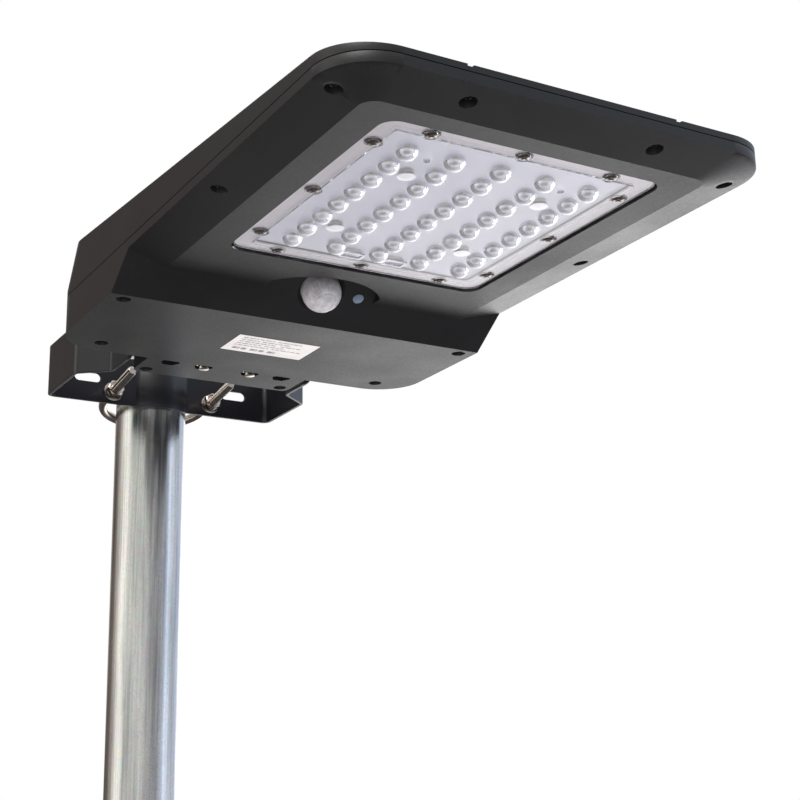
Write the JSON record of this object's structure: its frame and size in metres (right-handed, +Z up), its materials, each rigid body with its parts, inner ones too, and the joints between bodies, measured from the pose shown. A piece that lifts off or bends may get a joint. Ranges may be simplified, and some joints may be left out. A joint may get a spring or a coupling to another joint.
{
  "type": "solar street lamp",
  "caption": "All-in-one solar street lamp: flat wedge-shaped head with lensed LED field and motion sensor under a solar panel, U-bolted to the top of a round mast by a tilting bracket.",
  "frame": {"origin": "centre of the mast's foot, on the mast's axis", "axes": "+Z up the mast, -Y from the mast towards the lamp's front edge, +X across the lamp, to the side with the light sensor"},
  "size_m": [0.292, 0.6734, 0.503],
  "materials": {
    "galvanised_steel": "spangled zinc with fine lengthwise streaks",
    "black_plastic": "matte",
    "black_paint": "semi-gloss powder coat",
    "zinc_plate": "bright zinc plate",
    "screw_steel": "satin stainless steel",
    "housing_plastic": "fine-textured charcoal moulding",
    "seal_rubber": "matte",
    "seal_silicone": "matte",
    "lens_plastic": "clear moulded polycarbonate",
    "pir_plastic": "milky translucent",
    "window_plastic": "pale blue clear",
    "board_white": "white solder mask",
    "board_green": "green solder mask",
    "led_phosphor": "yellow phosphor",
    "spreader_aluminium": "milled",
    "panel_glass": "clear tempered",
    "cell_silicon": "dark blue silicon",
    "backsheet_film": "white film",
    "cell_wrap": "blue shrink wrap",
    "nickel_strip": "nickel plate",
    "component_black": "moulded epoxy",
    "socket_plastic": "natural nylon",
    "wire_red": "insulated wire",
    "wire_black": "insulated wire",
    "label_film": "printed film"
  },
  "bodies": {
    "mast": {"pole": "galvanised_steel", "pole_cap": "black_plastic"},
    "clamp": {"clamp_bracket": "black_paint", "u_bolt": "zinc_plate", "u_bolt_washers": "zinc_plate", "u_bolt_nuts": "zinc_plate"},
    "head": {"tilt_channel": "black_paint", "channel_bolts": "zinc_plate", "channel_washers": "zinc_plate", "channel_nuts": "zinc_plate", "pivot_bolts": "zinc_plate", "pivot_washers": "zinc_plate", "pivot_nuts": "zinc_plate", "lower_housing": "housing_plastic", "upper_housing": "housing_plastic", "housing_gasket": "seal_rubber", "housing_screws": "screw_steel", "tongue_screws": "screw_steel", "lens_plate": "lens_plastic", "lens_gasket": "seal_silicone", "lens_screws": "screw_steel", "led_board": "board_white", "led_chips": "led_phosphor", "heat_spreader": "spreader_aluminium", "spreader_screws": "screw_steel", "pir_lens": "pir_plastic", "pir_collar": "black_plastic", "pir_board": "board_green", "pir_sensor": "nickel_strip", "light_sensor_lens": "window_plastic", "light_sensor": "component_black", "solar_glass": "panel_glass", "solar_backsheet": "backsheet_film", "solar_cells": "cell_silicon", "battery_cells": "cell_wrap", "battery_terminals": "nickel_strip", "battery_tray": "black_plastic", "battery_strap": "nickel_strip", "battery_screws": "screw_steel", "controller_board": "board_green", "controller_parts": "component_black", "wire_sockets": "socket_plastic", "controller_screws": "screw_steel", "junction_box": "black_plastic", "panel_lead": "wire_red", "battery_lead": "wire_red", "led_lead": "wire_black", "sensor_lead": "wire_black", "rating_label": "label_film"}
  },
  "joints": [
    {"name": "clamp_turn", "type": "hinge", "parent": "mast", "child": "clamp", "pos_m": [0, 0, 0.443], "axis": [0, 0, 1], "continuous": true},
    {"name": "head_tilt", "type": "hinge", "parent": "clamp", "child": "head", "pos_m": [0, -0.148, 0.443], "axis": [-1, 0, 0], "range_deg": [-15, 30]}
  ]
}
